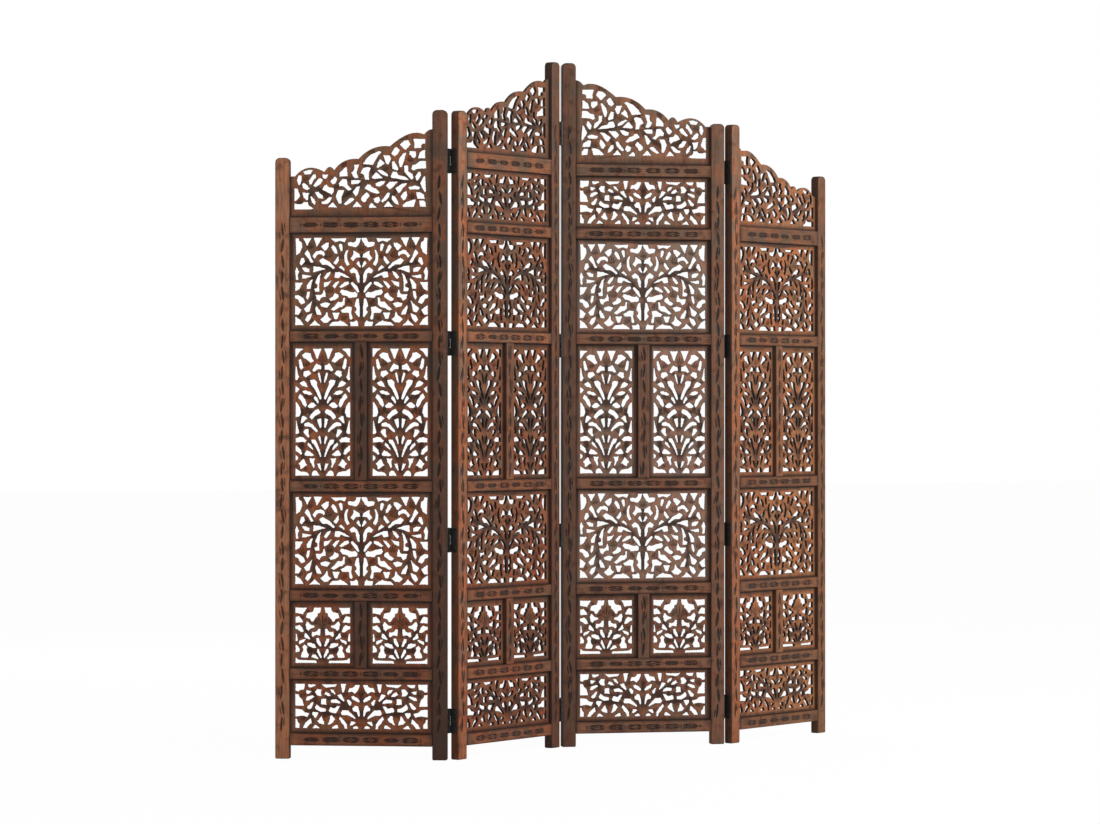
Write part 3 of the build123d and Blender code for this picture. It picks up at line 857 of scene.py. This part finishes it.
# ---- Column boards ----
# The tall pair in the middle of each leaf: a straight stalk with tiers of bending leaves, and a slim stalk
# on each side.
column_openings = [
    [(4, 327), (26, 327), (21, 316), (16, 302), (13, 303), (9, 316)],
    [(50, 327), (71, 327), (71, 307), (68, 309), (60, 321)],
    [(32, 315), (44, 317), (54, 310), (50, 304), (42, 301), (31, 292), (24, 295), (30, 305)],
    [(58, 302), (63, 298), (61, 282), (56, 274), (51, 278), (55, 292)],
    [(17, 289), (21, 283), (27, 272), (22, 269), (15, 275), (5, 275), (5, 283), (12, 285)],
    [(31, 264), (36, 270), (49, 268), (50, 258), (44, 253), (36, 260)],
    [(71, 283), (68, 279), (66, 265), (62, 255), (66, 248), (71, 248)],
    [(9, 265), (13, 263), (9, 248), (6, 239), (4, 242), (6, 255)],
    [(22, 247), (33, 245), (30, 235), (21, 224), (14, 210), (7, 197), (4, 199), (8, 214), (16, 232),
     (16, 242)],
    [(50, 244), (60, 239), (53, 232), (38, 228), (43, 237)],
    [(27, 210), (34, 216), (44, 219), (53, 217), (48, 212), (37, 209)],
    [(71, 233), (67, 227), (62, 223), (67, 217), (71, 215)],
    [(59, 211), (64, 202), (56, 194), (51, 183), (46, 177), (42, 183), (46, 196), (53, 205)],
    [(20, 205), (23, 199), (13, 186), (11, 190), (15, 201)],
    [(17, 181), (23, 187), (30, 188), (39, 180), (36, 176), (24, 176)],
    [(71, 189), (67, 187), (61, 177), (58, 163), (62, 153), (71, 151)],
    [(11, 171), (6, 164), (10, 160), (22, 153), (29, 145), (34, 150), (30, 158), (21, 167)],
    [(5, 147), (14, 144), (11, 134), (7, 123), (4, 126)],
    [(41, 147), (50, 153), (54, 152), (57, 136), (53, 137), (47, 143)],
    [(71, 143), (69, 140), (62, 112), (65, 109), (71, 109)],
    [(14, 113), (15, 118), (27, 132), (37, 137), (47, 134), (48, 129), (36, 128), (26, 121), (18, 114)],
    [(38, 119), (46, 118), (50, 113), (43, 104), (38, 99), (35, 102), (38, 112)],
    [(8, 106), (12, 98), (6, 80), (4, 85), (6, 98)],
    [(19, 91), (30, 91), (28, 85), (21, 79), (13, 64), (7, 49), (4, 50), (8, 66), (14, 81)],
    [(38, 86), (40, 80), (32, 72), (26, 65), (26, 70), (31, 79)],
    [(23, 53), (33, 61), (41, 65), (47, 56), (46, 52), (32, 51)],
    [(43, 91), (50, 97), (60, 99), (66, 96), (71, 95), (71, 86), (64, 87), (57, 88), (47, 86)],
    [(71, 77), (67, 75), (57, 66), (54, 57), (59, 55), (65, 61), (71, 65)],
    [(71, 53), (65, 47), (66, 42), (71, 37)],
    [(50, 42), (57, 36), (63, 31), (58, 26), (58, 17), (50, 22), (41, 27), (46, 33)],
    [(20, 43), (35, 44), (33, 35), (27, 26), (25, 19), (22, 23), (24, 34)],
    [(7, 31), (15, 30), (11, 21), (6, 13), (4, 16)],
    [(8, 0), (28, 0), (27, 8), (22, 12), (17, 11), (13, 6)],
    [(36, 0), (71, 0), (71, 18), (66, 14), (60, 10), (50, 9), (40, 6)],
]
column_fans = [
    (0, 290, 90, 20), (40, 280, 80, 18), (42, 196, 40, 18), (28, 108, 60, 16), (52, 72, 60, 16),
    (46, 12, 100, 12), (16, 262, 60, 12), (44, 155, 70, 16), (55, 118, 90, 16), (58, 240, 60, 12),
]
column_stems = [
    [(0, -6), (0, 285)],
    [(0, 196), (26, 228), (40, 250)],
    [(0, 176), (24, 196), (40, 205)],
    [(0, 118), (14, 150), (40, 172)],
    [(0, 44), (18, 70), (34, 90)],
    [(56, 170), (58, 100), (50, 46)],
]
column_board = cut_rectangle(
    half_opening, "outer_left_left_column_jali", column_openings, column_fans, column_stems
)
set_paired_boards(column_board, "column")

# ---- Square boards ----
# The small pair in the row above the bottom board: one flower on a short stalk, with a curled leaf on each
# side.
square_openings = [
    [(5, 142), (22, 142), (25, 131), (40, 128), (43, 117), (32, 114), (30, 108), (25, 108), (20, 116),
     (14, 121), (15, 128), (7, 131)],
    [(42, 142), (71, 142), (71, 129), (62, 128), (52, 125), (48, 133)],
    [(71, 118), (62, 120), (57, 114), (52, 105), (71, 104)],
    [(71, 94), (66, 94), (60, 97), (54, 91), (50, 81), (56, 80), (62, 84), (71, 88)],
    [(42, 106), (45, 98), (43, 88), (38, 83), (34, 89), (22, 93), (24, 96), (33, 98), (38, 104)],
    [(6, 86), (12, 87), (17, 79), (28, 80), (29, 72), (26, 68), (18, 74), (7, 72)],
    [(46, 76), (48, 68), (44, 64), (33, 60), (35, 65), (42, 74)],
    [(44, 60), (50, 60), (61, 56), (62, 50), (59, 49), (50, 54)],
    [(71, 76), (68, 73), (66, 60), (67, 57), (71, 57)],
    [(10, 63), (17, 62), (16, 55), (10, 46), (6, 43), (4, 45), (7, 54)],
    [(40, 50), (39, 45), (28, 40), (17, 40), (21, 48), (30, 51)],
    [(71, 45), (67, 44), (61, 35), (62, 29), (71, 27)],
    [(48, 46), (53, 40), (50, 32), (55, 25), (57, 17), (55, 14), (40, 14), (37, 22), (43, 32), (41, 40)],
    [(14, 35), (15, 28), (10, 20), (5, 13), (3, 15), (7, 26), (10, 34)],
    [(14, 10), (12, 13), (18, 20), (27, 20), (30, 15), (22, 13)],
    [(16, 0), (71, 0), (71, 14), (67, 9), (58, 6), (18, 5)],
]
square_fans = [
    (0, 92, 90, 30), (30, 24, 60, 18), (54, 64, 70, 14), (50, 112, 50, 12), (12, 100, 50, 18),
    (36, 130, 60, 8),
]
square_stems = [[(0, -4), (0, 88)], [(0, 40), (28, 56), (48, 96)], [(0, 10), (16, 30), (34, 34)]]
square_board = cut_rectangle(
    half_opening, "outer_left_left_square_jali", square_openings, square_fans, square_stems
)
set_paired_boards(square_board, "square")

# ---- Band boards ----
# The low board at the foot of every leaf, and again under the crest of the two inner leaves: running stems
# with leaves from a flower in the middle.
band_openings = [
    [(5, 112), (16, 112), (20, 105), (31, 104), (35, 94), (24, 96), (16, 91), (11, 97)],
    [(40, 114), (53, 114), (52, 107), (50, 94), (47, 94), (43, 105)],
    [(63, 114), (105, 114), (98, 109), (92, 106), (68, 109)],
    [(120, 113), (140, 113), (137, 106), (130, 106), (122, 110)],
    [(149, 114), (172, 114), (172, 97), (166, 95), (161, 100), (151, 101)],
    [(73, 99), (83, 101), (78, 94), (70, 88), (68, 91)],
    [(92, 94), (96, 88), (88, 84), (78, 83), (84, 90)],
    [(105, 100), (114, 101), (121, 93), (117, 87), (112, 85), (105, 84), (107, 93)],
    [(130, 95), (144, 97), (143, 90), (137, 90)],
    [(53, 88), (63, 85), (58, 79), (47, 70), (45, 73), (50, 82)],
    [(20, 84), (26, 82), (22, 75), (8, 68), (5, 71), (12, 79)],
    [(32, 73), (37, 73), (34, 65), (31, 60), (28, 61), (26, 67)],
    [(66, 75), (80, 73), (79, 67), (56, 65), (57, 69)],
    [(93, 76), (104, 75), (105, 63), (91, 62), (93, 70)],
    [(127, 84), (142, 80), (145, 73), (137, 73), (124, 81)],
    [(172, 88), (165, 87), (163, 80), (155, 73), (151, 59), (172, 59)],
    [(125, 66), (130, 66), (142, 54), (138, 50), (132, 52), (128, 60)],
    [(117, 62), (121, 54), (118, 49), (107, 43), (94, 44), (94, 50), (105, 52), (112, 57)],
    [(56, 58), (63, 57), (68, 51), (77, 53), (82, 53), (85, 46), (82, 43), (66, 40), (62, 47)],
    [(9, 57), (16, 59), (23, 52), (21, 46), (12, 44), (8, 32), (5, 33), (6, 46)],
    [(34, 46), (50, 47), (53, 40), (50, 35), (35, 35), (25, 30), (16, 24), (17, 29), (26, 38)],
    [(172, 49), (155, 47), (150, 41), (137, 38), (142, 30), (150, 33), (160, 33), (172, 31)],
    [(113, 40), (127, 41), (128, 35), (122, 27), (118, 30)],
    [(103, 33), (108, 26), (115, 18), (110, 13), (97, 10), (98, 17), (102, 24)],
    [(77, 33), (82, 30), (83, 20), (88, 11), (83, 11), (74, 17), (69, 24)],
    [(55, 30), (58, 24), (52, 15), (46, 10), (43, 0), (37, 0), (38, 10), (45, 20)],
    [(132, 25), (140, 18), (147, 12), (153, 1), (143, 1), (138, 8), (130, 14)],
    [(172, 24), (168, 22), (166, 14), (162, 10), (162, 2), (172, 2)],
    [(20, 17), (27, 17), (30, 8), (24, 9), (15, 15)],
    [(10, 4), (15, 6), (21, 3), (21, 0), (8, 0)],
    [(62, 8), (68, 7), (77, 1), (74, 0), (60, 1)],
    [(118, 7), (123, 7), (128, 0), (108, 0)],
]
band_fans = [
    (0, 84, 90, 20), (38, 82, 60, 18), (92, 26, 80, 16), (136, 42, 60, 14), (150, 80, 70, 14),
    (32, 8, 50, 16), (96, 88, 100, 10), (70, 60, 100, 8), (148, 22, 60, 14), (20, 92, 40, 8),
]
band_stems = [
    [(0, -6), (0, 88)],
    [(0, 20), (26, 50), (56, 74), (90, 80)],
    [(40, 52), (88, 56), (118, 70), (126, 100)],
    [(60, 34), (92, 40), (128, 44), (134, 20)],
]
band_board = cut_rectangle(full_opening, "outer_left_lower_band_jali", band_openings, band_fans, band_stems)
set_full_boards(band_board, "band")

# ---- Crests ----
# The arched board that crowns each leaf, sawn in scallops that step down from the tall stile to the short
# one. Its pattern isn't mirrored: it is drawn from the tall stile, and turned over on the two leaves to the
# left.
crest_scallops = [
    ((0, 216), (11, 213), (22, 203)),
    ((22, 203), (62, 204), (111, 173)),
    ((111, 173), (155, 168), (193, 141)),
    ((193, 141), (229, 136), (257, 112)),
    ((257, 112), (269, 121), (282, 108)),
    ((282, 108), (324, 119), (359, 97)),
]
crest_openings = [
    [(20, 190), (50, 191), (47, 180), (48, 168), (30, 169), (30, 178), (20, 180)],
    [(64, 188), (75, 186), (85, 178), (73, 166), (69, 165), (58, 177)],
    [(86, 162), (94, 170), (99, 168), (107, 155), (98, 148), (91, 153)],
    [(20, 163), (26, 161), (34, 155), (38, 142), (20, 142)],
    [(45, 159), (60, 160), (61, 153), (54, 146), (48, 143), (44, 148)],
    [(69, 156), (76, 154), (85, 143), (88, 132), (85, 120), (80, 121), (75, 135)],
    [(19, 134), (33, 134), (43, 126), (52, 124), (55, 115), (48, 111), (40, 115), (18, 116)],
    [(113, 149), (130, 150), (125, 142), (121, 130), (115, 127), (109, 140)],
    [(100, 134), (106, 132), (105, 116), (93, 111), (90, 114), (95, 125)],
    [(137, 139), (143, 130), (146, 121), (142, 118), (135, 123), (126, 129)],
    [(134, 158), (142, 160), (160, 152), (175, 138), (181, 130), (178, 128), (156, 126), (150, 138),
     (143, 150)],
    [(65, 122), (74, 122), (73, 108), (60, 93), (54, 88), (51, 91), (54, 101), (65, 108)],
    [(33, 106), (38, 105), (45, 95), (42, 85), (38, 87), (31, 98)],
    [(93, 105), (104, 107), (109, 96), (106, 92), (85, 89), (62, 86), (72, 93), (89, 97)],
    [(138, 112), (144, 111), (130, 101), (117, 96), (118, 101), (128, 108)],
    [(148, 106), (156, 97), (158, 92), (150, 90), (130, 91), (139, 99)],
    [(162, 116), (170, 119), (182, 116), (188, 105), (178, 100), (175, 88), (166, 87), (167, 105)],
    [(20, 95), (24, 93), (32, 78), (28, 68), (20, 55), (18, 58), (19, 80)],
    [(122, 83), (135, 83), (148, 78), (146, 71), (138, 70), (128, 76)],
    [(90, 82), (112, 81), (121, 72), (112, 62), (103, 69)],
    [(66, 78), (80, 76), (97, 65), (89, 53), (84, 56), (76, 68)],
    [(34, 67), (46, 71), (63, 67), (60, 62), (36, 62)],
    [(163, 74), (170, 75), (177, 66), (160, 57), (143, 52), (139, 54), (148, 64), (158, 67)],
    [(23, 47), (34, 54), (43, 54), (40, 39), (21, 38)],
    [(69, 58), (75, 54), (83, 43), (76, 34), (71, 37), (67, 48)],
    [(112, 53), (118, 53), (134, 32), (130, 29), (122, 34), (114, 43)],
    [(105, 45), (106, 37), (98, 27), (88, 23), (91, 31), (98, 42)],
    [(142, 43), (154, 38), (152, 31), (142, 27), (137, 33)],
    [(172, 54), (185, 42), (186, 36), (179, 30), (174, 32), (170, 40), (165, 46)],
    [(24, 32), (35, 32), (33, 18), (18, 17), (19, 25)],
    [(45, 34), (52, 34), (68, 29), (78, 20), (75, 17), (50, 17)],
    [(115, 30), (118, 29), (128, 17), (103, 17)],
    [(159, 27), (164, 22), (165, 15), (146, 15)],
    [(197, 30), (200, 29), (210, 17), (185, 17)],
    [(192, 126), (205, 125), (204, 114), (212, 106), (208, 98), (200, 92), (194, 93), (199, 105)],
    [(224, 119), (230, 118), (243, 105), (243, 97), (222, 98)],
    [(188, 84), (196, 86), (212, 86), (212, 77), (195, 78)],
    [(224, 88), (236, 89), (245, 78), (243, 71), (232, 72), (220, 61), (212, 63), (222, 72)],
    [(250, 91), (255, 96), (267, 84), (260, 76), (254, 79)],
    [(190, 71), (198, 69), (208, 56), (200, 45), (196, 50)],
    [(209, 40), (216, 40), (231, 26), (225, 23), (214, 29), (205, 36)],
    [(232, 60), (246, 60), (252, 45), (249, 36), (244, 26), (238, 27), (238, 45)],
    [(272, 101), (288, 101), (287, 95), (281, 91), (276, 94)],
    [(259, 66), (272, 68), (277, 76), (283, 72), (288, 63), (277, 58), (266, 53), (263, 50), (259, 56)],
    [(291, 90), (297, 91), (311, 73), (306, 70), (292, 79), (287, 86)],
    [(306, 102), (312, 101), (323, 85), (322, 78), (317, 77), (313, 86), (305, 93)],
    [(313, 112), (325, 113), (338, 109), (334, 103), (318, 104)],
    [(343, 98), (350, 99), (354, 86), (350, 75), (346, 77), (343, 88)],
    [(337, 79), (341, 76), (339, 68), (328, 62), (321, 65), (327, 72)],
    [(298, 57), (307, 56), (302, 47), (296, 41), (286, 40), (287, 46), (293, 50)],
    [(263, 43), (271, 42), (280, 34), (290, 31), (288, 26), (277, 26), (270, 30), (266, 37)],
    [(316, 45), (319, 43), (315, 30), (307, 23), (306, 30), (309, 37)],
    [(322, 53), (340, 55), (337, 43), (330, 36), (326, 37), (326, 45)],
    [(361, 66), (353, 65), (347, 48), (350, 42), (357, 35), (361, 35)],
    [(361, 26), (352, 24), (344, 24), (337, 30), (327, 31), (325, 22), (311, 14), (318, 13), (361, 13)],
    [(260, 28), (264, 27), (274, 17), (250, 16), (256, 22)],
]
crest_fans = [
    (60, 130, 100, 18), (86, 86, 30, 14), (120, 108, 60, 16), (52, 34, 80, 18), (160, 40, 110, 14),
    (218, 48, 60, 14), (276, 60, -40, 12), (330, 84, 80, 16), (345, 22, 70, 14), (225, 122, 40, 18),
    (150, 164, -20, 20), (60, 194, -10, 24), (184, 92, 60, 10), (30, 24, 80, 8),
]
crest_stems = [
    [(20, 76), (60, 82), (120, 90), (160, 84), (184, 80)],
    [(60, 82), (84, 108), (108, 122)],
    [(184, 80), (204, 60), (240, 40)],
    [(184, 80), (216, 92), (250, 70), (276, 44)],
    [(276, 44), (300, 66), (318, 58), (326, 20)],
    [(140, 80), (160, 116), (176, 124)],
    [(80, 80), (104, 52), (112, 20)],
]
crest_lift = {"outer_left": 9}
open_top = 5000


def scallop(start, crown, end):
    """A bowed run of the crest's top edge through three points, all but its last."""
    start, crown, end = Vector(start), Vector(crown), Vector(end)
    pull = crown * 2 - (start + end) / 2
    return [start * (1 - t) ** 2 + pull * 2 * t * (1 - t) + end * t * t for t in (k / 8 for k in range(8))]


crest_top = [(full_opening, 97)]
crest_top += [p for run in reversed(crest_scallops) for p in scallop(*reversed(run))]
crest_top += [(0, 216)]

for leaf in leaf_names:
    way = -1 if leaf.endswith("left") else 1
    far = way * full_opening
    lift = crest_lift.get(leaf, 0)
    sill = -lift - top_rail_worn.get(leaf, 0)
    drawn = [[(0, sill), (full_opening, sill), *crest_top], *crest_openings, *crest_stems]
    outline, *turned = [[(way * x, z) for x, z in ring] for ring in drawn]
    openings, stems = turned[: len(crest_openings)], turned[len(crest_openings) :]
    fans = [turned_over(fan) if way < 0 else fan for fan in crest_fans]
    crest = cut_board(outline, openings, fans, stems, (min(0, far), sill, max(0, far), open_top))
    middle = stile_width if way > 0 else panel_width - stile_width
    set_board(crest, f"{leaf}_crest_jali", leaf, middle, lift)
    crest.free()

# ---- Butt hinges ----
# Four blackened steel butt hinges join each pair of leaves. Their plates are screwed to the facing edges, and
# three rolled knuckles turn on a loose pin that stands just clear of the leaves' faces.
hinge_height = 63
hinge_gap = 5
hinge_slack = 0.3
plate_thickness = 1.5
plate_depth = 20
plate_corner = 1.2
knuckle_radius = 3.5
knuckle_root = 1.6
pin_radius = 1.5
pin_play = 0.05
pin_standoff = 3.0
pin_head = 2.2
pin_head_height = 0.3
pin_head_lift = 0.2
screw_rim, screw_crown, screw_head = 2.9, 2.2, 0.7
screw_seat = 0.3
screw_arris = 0.15
screw_pitch = 21
screw_stagger = 4
low_hinges = (100, 566, 1073)
hinge_rows = {"left": (*low_hinges, 1543), "middle": (*low_hinges, 1640), "right": (*low_hinges, 1543)}

black_steel = bpy.data.materials.new("blackened_steel")
black_steel.use_nodes = True
tree = black_steel.node_tree
spot = add_node(tree, "ShaderNodeTexCoord").outputs["Object"]
paler = add_node(tree, "ShaderNodeTexNoise", {"Vector": spot, "Scale": 180.0}).outputs["Fac"]
tint = add_node(tree, "ShaderNodeValToRGB", {"Fac": paler})
tint.color_ramp.elements[0].color = (0.012, 0.012, 0.013, 1)
tint.color_ramp.elements[1].color = (0.06, 0.055, 0.05, 1)
gloss = add_node(tree, "ShaderNodeMapRange", {"Value": paler, "To Min": 0.3, "To Max": 0.55})
shader = tree.nodes["Principled BSDF"]
shader.inputs["Metallic"].default_value = 0.6
tree.links.new(tint.outputs["Color"], shader.inputs["Base Color"])
tree.links.new(gloss.outputs["Result"], shader.inputs["Roughness"])


def edges_of(verts):
    """Every edge at some corners, once."""
    return list(dict.fromkeys(edge for vert in verts for edge in vert.link_edges))


def block(metal, low, high):
    """A plain block between two corners."""
    made = bmesh.ops.create_cube(metal, size=1.0)
    size, middle = Vector(high) - Vector(low), (Vector(high) + Vector(low)) / 2
    place = Matrix.Translation(middle) @ Matrix.Diagonal((*size, 1))
    bmesh.ops.transform(metal, matrix=place, verts=made["verts"])
    return made["verts"]


def knuckle(metal, x, y, low, high):
    """A rolled knuckle round the upright pin."""
    inner, outer = pin_radius + pin_play, knuckle_radius
    section = ((inner, low), (outer, low), (outer, high), (inner, high))
    ring = [metal.verts.new((x + r, y, z)) for r, z in section]
    edges = [metal.edges.new(pair) for pair in zip(ring, ring[1:] + ring[:1])]
    turn = {"axis": (0, 0, 1), "angle": math.tau, "steps": 20, "use_merge": True}
    bmesh.ops.spin(metal, geom=ring + edges, cent=(x, y, 0), **turn)


def hinge_plate(metal, edge, away, pin_y, inward, middle_z, knuckles):
    """One plate on a stile's edge with its screws and its own knuckles, in leaf coordinates."""
    foot = middle_z - hinge_height / 2
    near = pin_y + inward * (knuckle_radius + hinge_slack)
    far = near + inward * plate_depth
    face = edge + away * plate_thickness
    left, right = min(edge, face), max(edge, face)
    plate = block(metal, (left, min(near, far), foot), (right, max(near, far), foot + hinge_height))
    corners = [e for e in edges_of(plate) if abs(e.verts[0].co.x - e.verts[1].co.x) > 0.1]
    eased = {"profile": 0.5, "affect": "EDGES", "material": -1}
    bmesh.ops.bevel(metal, geom=corners, offset=plate_corner, segments=3, **eased)
    for k in knuckles:
        low = foot + k * hinge_height / 3 + (hinge_slack if k else 0)
        high = foot + (k + 1) * hinge_height / 3 - (hinge_slack if k < 2 else 0)
        root = pin_y + inward * knuckle_root
        block(metal, (left, min(root, near), low), (right, max(root, near), high))
        knuckle(metal, edge + away * hinge_gap / 2, pin_y, low, high)
    for k in (-1, 0, 1):
        depth = (near + far) / 2 + (k % 2) * inward * screw_stagger
        seat = Matrix.Translation((face + away * screw_seat, depth, middle_z + k * screw_pitch))
        cone = {"radius1": screw_rim, "radius2": screw_crown, "depth": screw_head, "segments": 12}
        upright = Matrix.Rotation(math.radians(90 * away), 4, "Y")
        head = bmesh.ops.create_cone(metal, cap_ends=True, matrix=seat @ upright, **cone)
        rim = edges_of([vert for vert in head["verts"] if abs(vert.co.x - face) > screw_seat])
        bmesh.ops.bevel(metal, geom=rim, offset=screw_arris, segments=1, **eased)


def hinge_pin(metal, pin_y, middle_z):
    """A loose pin with a low round head at each end, in the coordinates of the leaf to its right."""
    place = Matrix.Translation((-hinge_gap / 2, pin_y, middle_z))
    rod = {"radius1": pin_radius, "radius2": pin_radius, "depth": hinge_height + 1, "segments": 20}
    bmesh.ops.create_cone(metal, cap_ends=True, matrix=place, **rod)
    for end in (-1, 1):
        tip = (-hinge_gap / 2, pin_y, middle_z + end * (hinge_height / 2 + pin_head_lift))
        flat = Matrix.Translation(tip) @ Matrix.Diagonal((1, 1, pin_head_height, 1))
        bmesh.ops.create_uvsphere(metal, u_segments=16, v_segments=6, radius=pin_head, matrix=flat)


def finish_metal(metal, node, leaf):
    """Blackens a node's steel and hands it over."""
    bmesh.ops.recalc_face_normals(metal, faces=metal.faces[:])
    item = to_object(metal, f"{node}_steel", leaf, black_steel, crease=35)
    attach(item, leaf)
    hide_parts(node)


# Each seam has its left leaf, its right leaf, and the side where its pins stand.
for seam, left_leaf, right_leaf, face in (
    ("left", "outer_left", "inner_left", "back"),
    ("middle", "inner_left", "inner_right", "front"),
    ("right", "inner_right", "outer_right", "back"),
):
    pin_y, inward = (frame_thickness + pin_standoff, -1) if face == "back" else (-pin_standoff, 1)
    for side, leaf, edge, away, knuckles in (
        ("left", left_leaf, panel_width, 1, (1,)),
        ("right", right_leaf, 0, -1, (0, 2)),
    ):
        metal = bmesh.new()
        for middle_z in hinge_rows[seam]:
            hinge_plate(metal, edge, away, pin_y, inward, middle_z, knuckles)
        finish_metal(metal, f"{seam}_seam_{side}_hinge_plates", leaf)
    metal = bmesh.new()
    for middle_z in hinge_rows[seam]:
        hinge_pin(metal, pin_y, middle_z)
    finish_metal(metal, f"{seam}_seam_hinge_pins", right_leaf)
